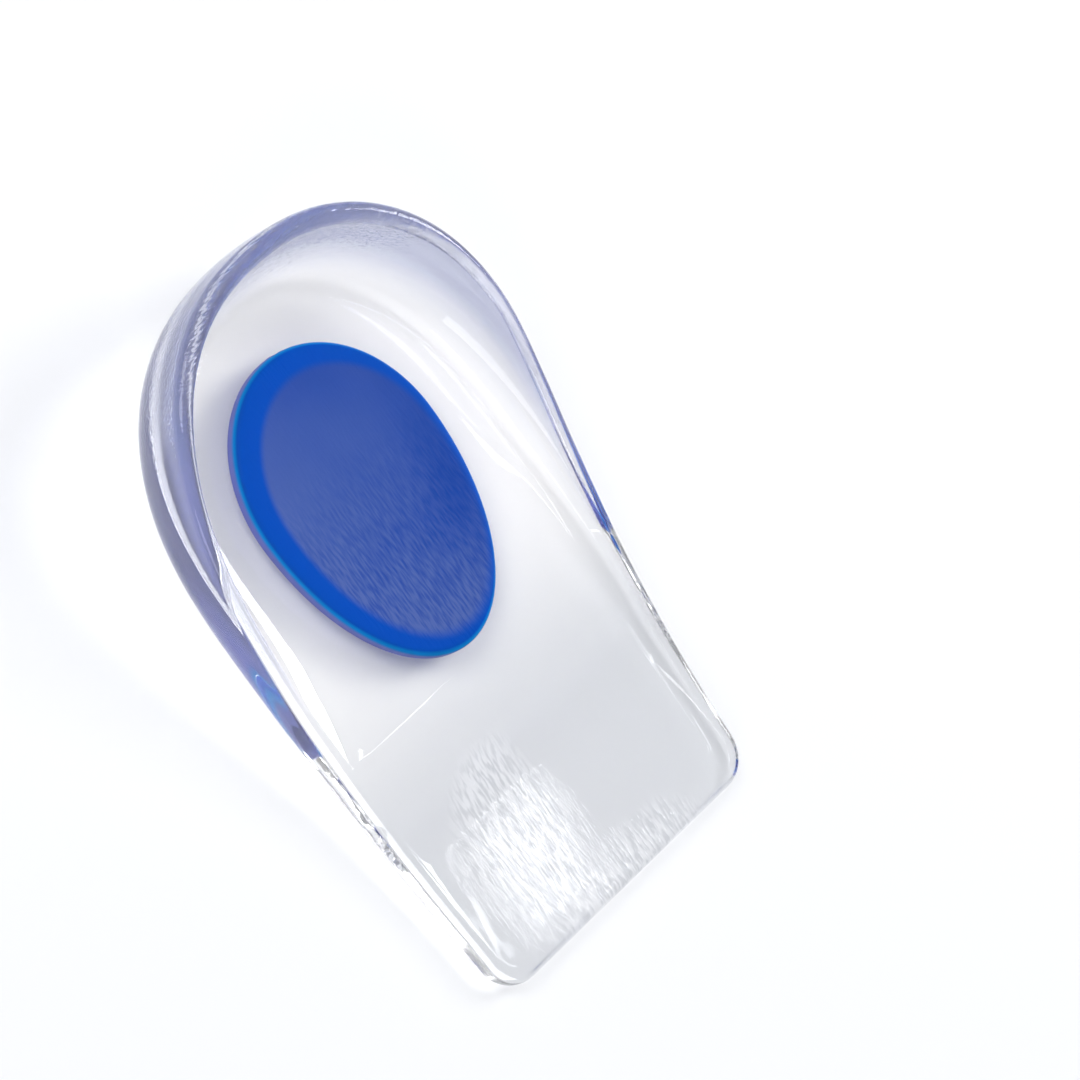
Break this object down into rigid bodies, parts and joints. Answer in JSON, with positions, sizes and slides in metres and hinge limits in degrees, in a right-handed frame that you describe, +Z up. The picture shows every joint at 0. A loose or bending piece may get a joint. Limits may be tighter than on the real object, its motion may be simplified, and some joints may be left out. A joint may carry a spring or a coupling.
{
  "type": "heel cup",
  "caption": "Clear gel heel cup: U-shaped wall round the heel falling to a thin flat front pad, with an egg-shaped softer blue pad set in its floor.",
  "frame": {"origin": "centre of the footprint, on the surface that the cup rests on", "axes": "+Z up, +Y toward the back of the heel, -Y toward the thin front edge, +X across the cup"},
  "size_m": [0.0654, 0.104, 0.02],
  "materials": {
    "clear_gel": "clear glossy silicone gel",
    "blue_gel": "satin translucent blue silicone gel"
  },
  "bodies": {
    "root": {"gel_cup": "clear_gel", "heel_pad": "blue_gel"}
  },
  "joints": []
}
